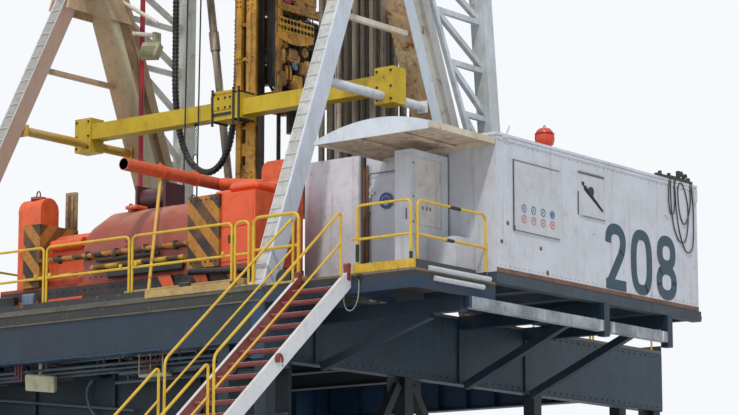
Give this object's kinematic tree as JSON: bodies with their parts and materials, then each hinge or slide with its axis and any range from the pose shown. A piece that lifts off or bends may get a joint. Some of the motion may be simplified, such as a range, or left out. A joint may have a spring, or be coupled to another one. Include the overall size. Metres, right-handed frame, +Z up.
{
  "type": "land drilling rig with A-frame mast, substructure and crew cabin",
  "caption": "Land drilling rig: lattice mast on an A-frame, raised drill floor on a braced substructure, drawworks, top drive, crew cabin and stair.",
  "frame": {"origin": "centre of the rotary table's bore at drill floor level", "axes": "+X towards the crew cabin, +Y from the stair and drawworks side to the back, +Z up along the bore"},
  "size_m": [12.86, 22.7839, 39.1198],
  "materials": {
    "substructure_blue": "weathered dark blue-green paint",
    "deck_plate": "worn grey deck plate",
    "curb_steel": "weathered beige and grey paint",
    "rotary_red": "worn red paint",
    "frame_white": "chalky white paint",
    "frame_beige": "sun-bleached beige paint with rust",
    "crossbeam_yellow": "worn yellow paint",
    "mast_white": "weathered white paint",
    "sheave_steel": "greasy steel",
    "pipe_steel": "brown-grey mill scale",
    "machine_yellow": "oily orange-yellow paint",
    "link_steel": "oily forged steel",
    "wire_rope": "greased wire rope",
    "standpipe_red": "crimson paint",
    "hose_rubber": "black rubber",
    "housing_red": "faded brick-red paint",
    "drive_orange": "orange paint",
    "hazard_paint": "black and orange-yellow stripes",
    "winch_maroon": "dark maroon paint",
    "stair_white": "white paint",
    "stair_maroon": "maroon paint",
    "rail_yellow": "yellow paint",
    "cabin_white": "off-white paint with rust runs",
    "skid_steel": "grimy dark paint",
    "sign_grey": "faded panel",
    "lamp_housing": "weathered lamp housing"
  },
  "bodies": {
    "rig": {"base_box_left": "substructure_blue", "base_box_right": "substructure_blue", "base_spreaders": "substructure_blue", "substructure_posts": "substructure_blue", "substructure_braces": "substructure_blue", "side_girders": "substructure_blue", "end_girders": "substructure_blue", "floor_beams": "substructure_blue", "cabin_brackets": "substructure_blue", "drill_floor": "deck_plate", "landing": "deck_plate", "floor_curb": "curb_steel", "rotary_table": "rotary_red", "a_frame_front_legs": "frame_white", "a_frame_struts": "frame_white", "a_frame_ladders": "frame_white", "a_frame_back_legs": "frame_beige", "a_frame_top": "frame_beige", "torque_crossbeam": "crossbeam_yellow", "racking_board": "crossbeam_yellow", "mast_left_side": "mast_white", "mast_right_side": "mast_white", "mast_front_bracing": "mast_white", "crown_frame": "mast_white", "crown_sheaves": "sheave_steel", "pipe_stands": "pipe_steel", "mousehole_pipe": "pipe_steel", "guide_column": "machine_yellow", "drill_lines": "wire_rope", "standpipe": "standpipe_red", "rotary_hose": "hose_rubber", "drawworks_housing": "housing_red", "intake_pipe": "housing_red", "drawworks_skid": "drive_orange", "drawworks_drives": "drive_orange", "blower_duct": "drive_orange", "hazard_plates": "hazard_paint", "air_winch": "winch_maroon", "stair_stringers": "stair_white", "stair_treads": "stair_maroon", "stair_rails": "rail_yellow", "floor_rails": "rail_yellow", "wind_wall": "cabin_white", "cabin_walls": "cabin_white", "cabin_front": "cabin_white", "cabin_roof": "cabin_white", "canopy": "cabin_white", "cabin_lockers": "cabin_white", "cabin_skid": "skid_steel", "cabin_fittings": "sign_grey", "floodlights": "lamp_housing"},
    "door": {"cabin_door": "cabin_white"},
    "hoist": {"top_drive": "machine_yellow", "drive_guard": "machine_yellow", "travelling_block": "machine_yellow", "drive_links": "link_steel"}
  },
  "joints": [
    {"name": "cabin_door_hinge", "type": "hinge", "parent": "rig", "child": "door", "pos_m": [5.16, -3.975, 1.2], "axis": [0, 0, -1], "range_deg": [0, 100]},
    {"name": "top_drive_hoist", "type": "slide", "parent": "rig", "child": "hoist", "axis": [0, 0, 1], "range_m": [0, 18], "deforming": ["drill_lines"]}
  ]
}
